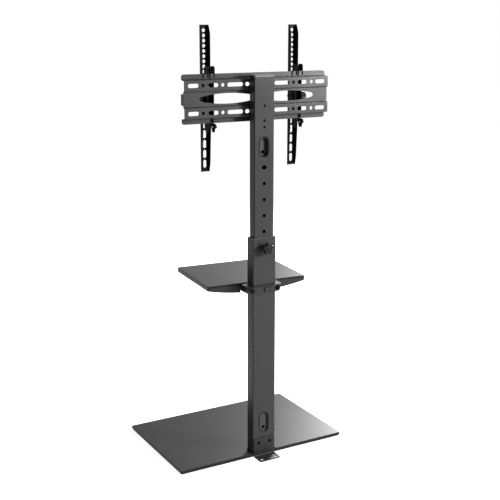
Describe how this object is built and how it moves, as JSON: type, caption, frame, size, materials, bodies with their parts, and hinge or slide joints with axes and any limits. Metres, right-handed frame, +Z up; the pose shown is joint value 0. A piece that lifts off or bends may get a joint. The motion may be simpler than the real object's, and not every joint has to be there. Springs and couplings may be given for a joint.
{
  "type": "tv stand with mount",
  "caption": "Floor stand for a screen: glass base, height-adjustable two-part column, tilting hook-on screen arms on a slotted plate, and a sliding glass shelf.",
  "frame": {"origin": "centre of the bounding box on the floor, 157 mm in front of the column axis", "axes": "+X along the base's width (left as seen from behind), +Y from the screen side towards the rear, +Z up"},
  "size_m": [0.6, 0.442, 1.371],
  "materials": {
    "column_paint": "fine textured black-grey powder coat",
    "plate_paint": "fine textured black powder coat",
    "arm_paint": "satin black powder coat",
    "dark_steel": "satin black powder coat",
    "dark_glass": "back-painted black tempered glass, polished",
    "black_plastic": "moulded, lightly grained",
    "port_plastic": "moulded, satin, coloured to match the columns",
    "knob_plastic": "moulded, satin",
    "foot_rubber": "matt rubber",
    "clear_pad": "soft adhesive pad",
    "zinc_steel": "bright zinc plate",
    "black_bolt": "black zinc plate"
  },
  "bodies": {
    "root": {"base_feet": "foot_rubber", "base_plate": "dark_steel", "base_glass": "dark_glass", "foot_plate": "dark_steel", "foot_screws": "zinc_steel", "lower_column": "column_paint", "column_sleeve": "black_plastic", "lower_port_grommet": "port_plastic", "floor_bracket": "dark_steel", "bracket_screws": "black_bolt", "bracket_nuts": "zinc_steel", "knob_bush": "dark_steel"},
    "height_lock": {"height_knob": "knob_plastic", "knob_stud": "zinc_steel"},
    "mast": {"upper_column": "column_paint", "slide_plug": "black_plastic", "upper_port_grommet": "port_plastic", "column_cap": "black_plastic", "mount_backing": "dark_steel", "wall_plate": "plate_paint", "plate_bolts": "zinc_steel", "plate_nuts": "zinc_steel"},
    "shelf": {"shelf_glass": "dark_glass", "shelf_pads": "clear_pad", "shelf_tray": "dark_steel", "shelf_collar": "dark_steel", "shelf_clamp": "dark_steel", "clamp_bolts": "black_bolt", "clamp_nuts": "zinc_steel", "shelf_bolts": "zinc_steel"},
    "left_hanger": {"left_bracket": "arm_paint", "left_pivot_bolt": "black_bolt", "left_lock_nut": "zinc_steel"},
    "left_tab": {"left_lock_tab": "arm_paint"},
    "left_thumbscrew": {"left_lock_screw": "knob_plastic"},
    "left_screen_arm": {"left_arm": "arm_paint", "left_tilt_bolt": "black_bolt"},
    "left_knob": {"left_tilt_knob": "knob_plastic"},
    "right_hanger": {"right_bracket": "arm_paint", "right_pivot_bolt": "black_bolt", "right_lock_nut": "zinc_steel"},
    "right_tab": {"right_lock_tab": "arm_paint"},
    "right_thumbscrew": {"right_lock_screw": "knob_plastic"},
    "right_screen_arm": {"right_arm": "arm_paint", "right_tilt_bolt": "black_bolt"},
    "right_knob": {"right_tilt_knob": "knob_plastic"}
  },
  "joints": [
    {"name": "column_height", "type": "slide", "parent": "root", "child": "mast", "axis": [0, 0, 1], "range_m": [-0.2, 0.05]},
    {"name": "height_knob_turn", "type": "hinge", "parent": "root", "child": "height_lock", "pos_m": [0, 0.19, 0.6975], "axis": [0, 1, 0], "continuous": true},
    {"name": "shelf_height", "type": "slide", "parent": "root", "child": "shelf", "axis": [0, 0, 1], "range_m": [-0.38, 0.08]},
    {"name": "left_arm_slide", "type": "slide", "parent": "mast", "child": "left_hanger", "axis": [1, 0, 0], "range_m": [-0.1, 0.05]},
    {"name": "right_arm_slide", "type": "slide", "parent": "mast", "child": "right_hanger", "axis": [1, 0, 0], "range_m": [-0.06, 0.1]},
    {"name": "left_lock_slide", "type": "slide", "parent": "left_hanger", "child": "left_tab", "axis": [0, 0, 1], "range_m": [-0.014, 0]},
    {"name": "right_lock_slide", "type": "slide", "parent": "right_hanger", "child": "right_tab", "axis": [0, 0, 1], "range_m": [-0.014, 0]},
    {"name": "left_lock_turn", "type": "hinge", "parent": "left_hanger", "child": "left_thumbscrew", "pos_m": [0.143, 0.124, 1.074], "axis": [1, 0, 0], "continuous": true},
    {"name": "right_lock_turn", "type": "hinge", "parent": "right_hanger", "child": "right_thumbscrew", "pos_m": [-0.164, 0.124, 1.074], "axis": [1, 0, 0], "continuous": true},
    {"name": "left_tilt", "type": "hinge", "parent": "left_hanger", "child": "left_screen_arm", "pos_m": [0.158, 0.091, 1.153], "axis": [1, 0, 0], "range_deg": [-5, 10]},
    {"name": "right_tilt", "type": "hinge", "parent": "right_hanger", "child": "right_screen_arm", "pos_m": [-0.149, 0.091, 1.153], "axis": [1, 0, 0], "range_deg": [-5, 10]},
    {"name": "left_tilt_knob_turn", "type": "hinge", "parent": "left_screen_arm", "child": "left_knob", "pos_m": [0.185, 0.1065, 1.153], "axis": [1, 0, 0], "continuous": true},
    {"name": "right_tilt_knob_turn", "type": "hinge", "parent": "right_screen_arm", "child": "right_knob", "pos_m": [-0.176, 0.1065, 1.153], "axis": [1, 0, 0], "continuous": true}
  ]
}
